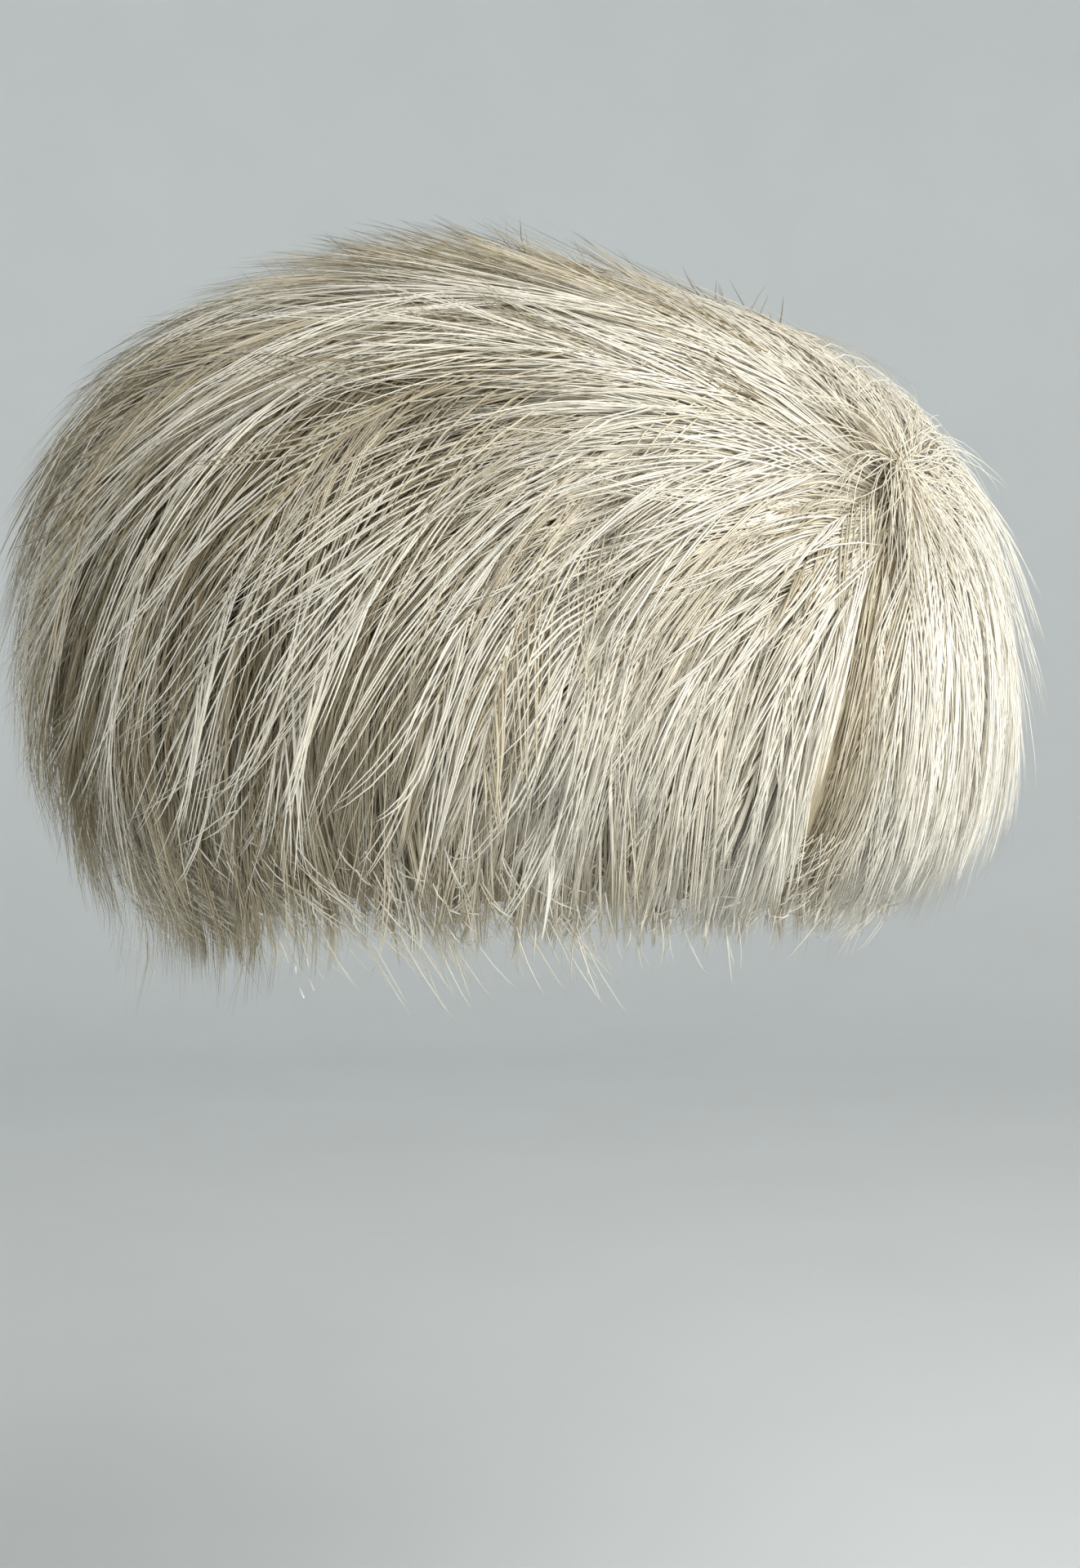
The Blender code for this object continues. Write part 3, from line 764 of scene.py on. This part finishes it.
def net_finish(colours):
    """A brown net laid over a woven, stiffened base, on the foundation's own places."""
    mesh_size = 0.0036  # metres
    smooth, matt = 0.75, 0.95
    finish = Finish("net_weave", Specular_IOR_Level=0.25)
    places = finish.own_places()
    lines = []
    for axis in range(3):
        turned = (TAU / mesh_size) * finish.part_of(places, axis)
        lines.append(finish.node("ShaderNodeMath", {"operation": "SINE"}, {0: turned}))
    crossed = lines[0] * lines[1] + 0.5 * lines[2]
    weave = finish.node("ShaderNodeMath", {"operation": "ABSOLUTE"}, {0: crossed})
    grain = finish.noise(places, scale=160.0, detail=3.0)
    threads = finish.ranged(weave + 0.3 * grain, low=0.22, high=0.42)
    colour = finish.mixed(threads, tuple(colours.net), tuple(colours.backing))
    finish.bumped(threads, strength=0.5, distance=0.0004)
    return finish.drive(Base_Color=colour, Roughness=finish.ranged(threads, 0, 1, smooth, matt))


# Operators


def colours_of(context):
    return context.scene.feather_hat_colours


WAYS = {}


def ways_of(context):
    """The ways over the hat, worked out once."""
    if "hat" not in WAYS:
        WAYS["hat"] = Ways(context.scene.feather_hat_sizes)
    return WAYS["hat"]


KINDS, SEED_OFFSETS = (UNDER, OVER, VANE), (0, 500, 900)
HEM_PALENESS = 0.06


def build_sprays(context, sprays):
    """Adds each spray's feathers of every kind as one piece, in the space of its row of locks."""
    feathers = context.scene.feather_hat_feathers
    ways = ways_of(context)
    for spray in sprays:
        hem = spray.row.name == "hem"
        finish_name = "hem_barbs" if hem else "barbs"
        material = bpy.data.materials.get(finish_name)
        if material is None:
            material = feather_finish(finish_name, colours_of(context), HEM_PALENESS if hem else 0.0)
        meshes = []
        for kind, count, offset in zip(KINDS, (spray.under, spray.over, spray.vanes), SEED_OFFSETS):
            if count:
                strands = spray_strands(ways, spray, kind, count, feathers, spray.seed + offset)
                meshes.append(strand_arrays(*strands))
        add_piece(f"{spray.name}_feathers", mesh_of(spray.name, meshes), material, spray.name)


class HAT_OT_foundation(bpy.types.Operator):
    """Finishes the foundation as brown net over a woven base"""

    bl_idname = "hat.foundation"
    bl_label = "Net foundation"

    def execute(self, context):
        material = net_finish(colours_of(context))
        for slot in bpy.data.objects["foundation"].material_slots:
            slot.material = material
        return {"FINISHED"}


class HAT_OT_down(bpy.types.Operator):
    """Lays the short down over the foundation"""

    bl_idname = "hat.down"
    bl_label = "Down layer"

    ROWS, COLUMNS = 48, 160
    WISPS, WISP_SEGMENTS, PALENESS = 4000, 4, 0.05

    def execute(self, context):
        ways = ways_of(context)
        mesh = down_mesh(ways, self.ROWS, self.COLUMNS)
        add_piece("down_layer", mesh, down_finish(colours_of(context)), "down_bed")
        fibres = feather_finish("down_fibres", colours_of(context), self.PALENESS)
        mesh = wisp_mesh(ways, self.WISPS, self.WISP_SEGMENTS)
        add_piece("hem_down", mesh, fibres, "down_bed")
        return {"FINISHED"}


WISP_HEIGHTS = (-0.004, 0.020)  # metres up from the rim, where wisps start
WISP_LENGTHS, LEFT_LONGER = (0.006, 0.020), 0.2
WISP_LEAN, WISP_BEND = 26, 42  # spreads in degrees
WISP_LIFTS, PALE_LOWER, WISP_DROOP = (0.004, 0.021), 0.35, 0.7
WISP_WIDTHS = (0.0003, 0.0006)
# Wisp tones vary at random; the paling beside the whorl is painted light
WISP_TONES, WISP_LIGHT_PALING = (0.3, 0.9), 0.25


def wisp_mesh(ways, count, segments):
    """Fine short fibres of down round the hem, which lie every way and curve in under it."""
    chance = np.random.default_rng(7)
    column = ways.column_at(chance.uniform(0, TAU, count))
    distance = ways.length(column) - chance.uniform(*WISP_HEIGHTS, count)
    lengths = chance.uniform(*WISP_LENGTHS, count) * (1 + LEFT_LONGER * ways.leftness(column))
    lean = np.radians(chance.normal(0, WISP_LEAN, count))
    bend = np.radians(chance.normal(0, WISP_BEND, count))

    def heading(share, distance, column):
        return lean + bend * share

    distances, columns = walk(ways, distance, column, lengths, heading, segments)
    share = np.linspace(0, 1, segments + 1)
    lifts = chance.uniform(*WISP_LIFTS, count) * (1 - PALE_LOWER * ways.paleness(column))
    lifts = lifts[:, None] * (1 - WISP_DROOP * share**2)
    places, outward = ways.raised(distances, columns, lifts)
    widths = chance.uniform(*WISP_WIDTHS, count)
    # Painted light: wisps are paler beside the whorl, on the side that the window lights
    tones = chance.uniform(*WISP_TONES, count) + WISP_LIGHT_PALING * ways.paleness(column)
    return mesh_of("hem_down", [strand_arrays(places, outward, widths, tones)])


SKIN_HEIGHT, RIDGE_HEIGHT, SKIN_INSIDE = 0.0040, 0.0005, 0.0006
FRINGE_ROWS, FRINGE_LENGTHS, FRINGE_THINNER = 3, (0.0005, 0.002), 0.0022
COMB_ACROSS, COMB_ALONG = 0.05, 0.2  # the map's size round the whorl and out from it


def down_mesh(ways, rows, columns):
    """A closed skin over the foundation, ridged along the ways and fringed below the rim."""
    chance = np.random.default_rng(5)
    bm = bmesh.new()
    bmesh.ops.create_uvsphere(bm, u_segments=columns, v_segments=2 * rows + 1, radius=1)
    bm.verts.ensure_lookup_table()
    unit = np.array([vertex.co for vertex in bm.verts])
    turn = np.arctan2(unit[:, 1], unit[:, 0])
    ring = np.round(np.arccos(unit[:, 2].clip(-1, 1)) / math.pi * (2 * rows + 1))
    outside = ring <= rows
    share = np.where(outside, ring, 2 * rows + 1 - ring) / rows
    segment = np.mod(np.round(turn / TAU * columns), columns).astype(int)
    fringe = chance.uniform(*FRINGE_LENGTHS, columns)[segment]
    rim_ring = (rows - FRINGE_ROWS) / rows
    beyond = np.maximum(0, share - rim_ring) / (1 - rim_ring) * fringe
    disc = np.minimum(share / rim_ring, 1) * np.exp(1j * turn)
    ridges = chance.normal(0, 1, (rows + 1, columns))
    spread = (np.roll(ridges, 1, 1) + ridges + np.roll(ridges, 1, 0)) / 3
    relief = spread[(share * rows).astype(int), segment]
    lift = np.where(outside, SKIN_HEIGHT + RIDGE_HEIGHT * relief, SKIN_INSIDE)
    lift -= np.where(outside, FRINGE_THINNER * (beyond > 0), 0)
    places = ways.shell(disc, along_axis(lift))
    down = ways.shell(disc, along_axis(lift)) - ways.shell(disc * ways.BY_RIM, along_axis(lift))
    down /= along_axis(np.linalg.norm(down, axis=-1) + 1e-9)
    places = past_rim(places, down, beyond, ways.sizes.fall_bend)
    around = shifted(disc, -ways.whorl)
    combed = np.stack([np.angle(around) * COMB_ACROSS, np.abs(around) * COMB_ALONG], 1)
    for vertex, place in zip(bm.verts, places):
        vertex.co = place
    layer = bm.loops.layers.uv.new("combed")
    for face in bm.faces:
        values = [combed[loop.vert.index] for loop in face.loops]
        wraps = max(v[0] for v in values) - min(v[0] for v in values) > COMB_ACROSS * math.pi
        for loop, value in zip(face.loops, values):
            low = wraps and value[0] < 0
            loop[layer].uv = (value[0] + COMB_ACROSS * TAU * low, value[1])
    bmesh.ops.recalc_face_normals(bm, faces=bm.faces)
    if bm.calc_volume(signed=True) < 0:
        bmesh.ops.reverse_faces(bm, faces=bm.faces)
    return smooth_mesh("down_layer", bm)


class HAT_OT_front(bpy.types.Operator):
    """Combs three rows of feathers across the front"""

    bl_idname = "hat.front"
    bl_label = "Front sweep"

    def execute(self, context):
        build_sprays(context, FRONT_SPRAYS)
        return {"FINISHED"}


class HAT_OT_crown(bpy.types.Operator):
    """Combs three rows of feathers over the crown"""

    bl_idname = "hat.crown"
    bl_label = "Crown sweep"

    def execute(self, context):
        build_sprays(context, CROWN_SPRAYS)
        return {"FINISHED"}


class HAT_OT_back(bpy.types.Operator):
    """Combs three rows of feathers down the back"""

    bl_idname = "hat.back"
    bl_label = "Back fall"

    def execute(self, context):
        build_sprays(context, BACK_SPRAYS)
        return {"FINISHED"}


class HAT_OT_side(bpy.types.Operator):
    """Hangs two rows of feathers from the whorl down the side"""

    bl_idname = "hat.side"
    bl_label = "Side fall"

    def execute(self, context):
        build_sprays(context, SIDE_SPRAYS)
        return {"FINISHED"}


class HAT_OT_tuft(bpy.types.Operator):
    """Binds short barbs in a knot at the whorl"""

    bl_idname = "hat.tuft"
    bl_label = "Whorl tuft"

    COUNT, SEGMENTS = 240, 6
    OVER_PARTING, PARTING_SPREAD = 0.3, 0.35  # how many cross the parting's head, and how widely
    CURL, CURL_SPREAD = 20, 18  # degrees
    REACHES, BACKS, ASIDE = (0.10, 0.30), (0.0, 0.05), 0.012  # over the surface, as shares of its radius
    LIFT, RISE, CRESTS, CREST_TURN = 0.0070, 0.0050, (0.0, 0.004), 0.8
    WIDTHS, TONES = (0.0004, 0.0007), (0.45, 0.95)

    def execute(self, context):
        ways = ways_of(context)
        chance = np.random.default_rng(51)
        count = self.COUNT
        share = np.linspace(0, 1, self.SEGMENTS + 1)
        parting = np.angle(shifted(np.exp(1j * ways.sizes.parting_turn), -ways.whorl))
        over_parting = chance.uniform(0, 1, count) < self.OVER_PARTING
        crossing = parting + chance.normal(0, self.PARTING_SPREAD, count)
        turn = np.where(over_parting, crossing, chance.uniform(0, TAU, count))[:, None]
        curl = np.radians(chance.normal(self.CURL, self.CURL_SPREAD, count))[:, None]
        reach = chance.uniform(*self.REACHES, count)[:, None]
        behind = chance.uniform(*self.BACKS, count)[:, None]
        aside = chance.normal(0, self.ASIDE, count)[:, None]
        way = np.exp(1j * (turn + curl * share))
        around = (share * (reach + behind) - behind) * way + 1j * aside * np.exp(1j * turn)
        disc = shifted(around, ways.whorl)
        crest = chance.uniform(*self.CRESTS, count)[:, None]
        lifts = self.LIFT + self.RISE * share + crest * np.sin(share * math.pi * self.CREST_TURN)
        seats = ways.shell(disc, 0)
        outward = ways.shell(disc, 1) - seats
        places = seats + outward * along_axis(lifts)
        widths = chance.uniform(*self.WIDTHS, count)
        tones = chance.uniform(*self.TONES, count)
        mesh = mesh_of("whorl_tuft", [strand_arrays(places, outward, widths, tones)])
        material = feather_finish("tuft_barbs", colours_of(context), 0.0)
        add_piece("whorl_tuft_feathers", mesh, material, "whorl_tuft")
        return {"FINISHED"}


class HAT_OT_stage(bpy.types.Operator):
    """Sets a pale floor and backdrop, soft light and the camera"""

    bl_idname = "hat.stage"
    bl_label = "Stage"

    FLOOR_LEVEL, RADIUS, COVE, WALL_HEIGHT = -0.25, 2.2, 0.8, 3.2
    COVE_STEPS, ROUND_STEPS = 8, 96
    GRAIN_CONTRAST = 1.06
    WINDOW_TURN, WINDOW_RISE = math.radians(46), math.radians(32)
    WINDOW_AWAY, WINDOW_SIZE, WINDOW_POWER = 1.5, 2.2, 34.5
    WINDOW_COLOUR = (1.0, 0.98, 0.94)
    ROOM_COLOUR, ROOM_STRENGTH = (1.0, 0.97, 0.91), 0.22
    SCALE = 0.000218  # metres a pixel of the photograph at the hat's middle
    DISTANCE, ELEVATION, SENSOR_HEIGHT = 0.70, math.radians(2), 24
    AIM = (0.0024, 0.0, 0.0218)

    def backdrop(self, colours):
        bm = bmesh.new()
        flat = self.RADIUS - self.COVE
        profile = [(0.0, 0.0), (flat, 0.0)]
        for step in range(1, self.COVE_STEPS + 1):
            turn = math.pi / 2 * step / self.COVE_STEPS
            profile.append((flat + self.COVE * math.sin(turn), self.COVE * (1 - math.cos(turn))))
        profile.append((self.RADIUS, self.WALL_HEIGHT))
        made = [bm.verts.new((out, 0, self.FLOOR_LEVEL + up)) for out, up in profile]
        edges = [bm.edges.new(pair) for pair in zip(made, made[1:])]
        geom, middle = made + edges, (0, 0, 0)
        bmesh.ops.spin(
            bm, geom=geom, axis=(0, 0, 1), cent=middle, angle=TAU, steps=self.ROUND_STEPS, use_merge=True
        )
        bmesh.ops.remove_doubles(bm, verts=bm.verts, dist=1e-5)
        bmesh.ops.recalc_face_normals(bm, faces=bm.faces)
        bmesh.ops.reverse_faces(bm, faces=bm.faces)
        mesh = smooth_mesh("backdrop", bm)
        finish = Finish("backdrop", Roughness=0.9, Specular_IOR_Level=0.1)
        grain = finish.noise(finish.own_places(), scale=9.0, detail=4.0)
        base = tuple(colours.stage)
        colour = finish.mixed(grain, base, tuple(value * self.GRAIN_CONTRAST for value in base))
        mesh.materials.append(finish.drive(Base_Color=colour))
        in_scene("backdrop", mesh)

    def window(self):
        lamp = bpy.data.lights.new("window", "AREA")
        lamp.shape, lamp.size = "DISK", self.WINDOW_SIZE
        lamp.energy, lamp.color = self.WINDOW_POWER, self.WINDOW_COLOUR
        holder = in_scene("window", lamp)
        flat = math.cos(self.WINDOW_RISE) * self.WINDOW_AWAY
        across, forward = math.sin(self.WINDOW_TURN) * flat, -math.cos(self.WINDOW_TURN) * flat
        holder.location = Vector((across, forward, math.sin(self.WINDOW_RISE) * self.WINDOW_AWAY))
        holder.rotation_euler = holder.location.to_track_quat("Z", "Y").to_euler()

    def room(self):
        world = bpy.data.worlds.new("room")
        world.use_nodes = True
        background = world.node_tree.nodes["Background"]
        background.inputs["Color"].default_value = (*self.ROOM_COLOUR, 1)
        background.inputs["Strength"].default_value = self.ROOM_STRENGTH
        bpy.context.scene.world = world

    def camera(self):
        camera = bpy.data.cameras.new("camera")
        camera.sensor_fit = "VERTICAL"
        camera.sensor_height = self.SENSOR_HEIGHT
        camera.lens = self.SENSOR_HEIGHT * self.DISTANCE / (PHOTO_HEIGHT * self.SCALE)
        camera.clip_start = 0.01
        holder = in_scene("camera", camera)
        away = Vector((0, -math.cos(self.ELEVATION), math.sin(self.ELEVATION)))
        holder.location = Vector(self.AIM) + away * self.DISTANCE
        holder.rotation_euler = Euler((math.pi / 2 - self.ELEVATION, 0, 0))
        bpy.context.scene.camera = holder

    def execute(self, context):
        self.backdrop(colours_of(context))
        self.window()
        self.room()
        self.camera()
        context.scene.view_settings.view_transform = "Standard"
        return {"FINISHED"}


OPERATORS = (
    HAT_OT_foundation,
    HAT_OT_down,
    HAT_OT_front,
    HAT_OT_crown,
    HAT_OT_back,
    HAT_OT_side,
    HAT_OT_tuft,
    HAT_OT_stage,
)


class HAT_PT_panel(bpy.types.Panel):
    """Lists the hat's pieces and sizes"""

    bl_label = "Feather Hat"
    bl_idname = "HAT_PT_panel"
    bl_space_type = "VIEW_3D"
    bl_region_type = "UI"
    bl_category = "Feather Hat"

    def draw(self, context):
        for operator in OPERATORS:
            self.layout.operator(operator.bl_idname)
        for group in ("feather_hat_sizes", "feather_hat_feathers", "feather_hat_colours"):
            holder = getattr(context.scene, group)
            for name in holder.__annotations__:
                self.layout.prop(holder, name)


GROUPS = {
    "feather_hat_sizes": FeatherHatSizes,
    "feather_hat_feathers": FeatherHatFeathers,
    "feather_hat_colours": FeatherHatColours,
}


def register():
    for cls in (*GROUPS.values(), *OPERATORS, HAT_PT_panel):
        bpy.utils.register_class(cls)
    for name, group in GROUPS.items():
        setattr(bpy.types.Scene, name, bpy.props.PointerProperty(type=group))


def unregister():
    for name in GROUPS:
        delattr(bpy.types.Scene, name)
    for cls in reversed((*GROUPS.values(), *OPERATORS, HAT_PT_panel)):
        bpy.utils.unregister_class(cls)


def main():
    register()
    for operator in OPERATORS:
        group, name = operator.bl_idname.split(".")
        getattr(getattr(bpy.ops, group), name)()


if __name__ == "__main__":
    main()
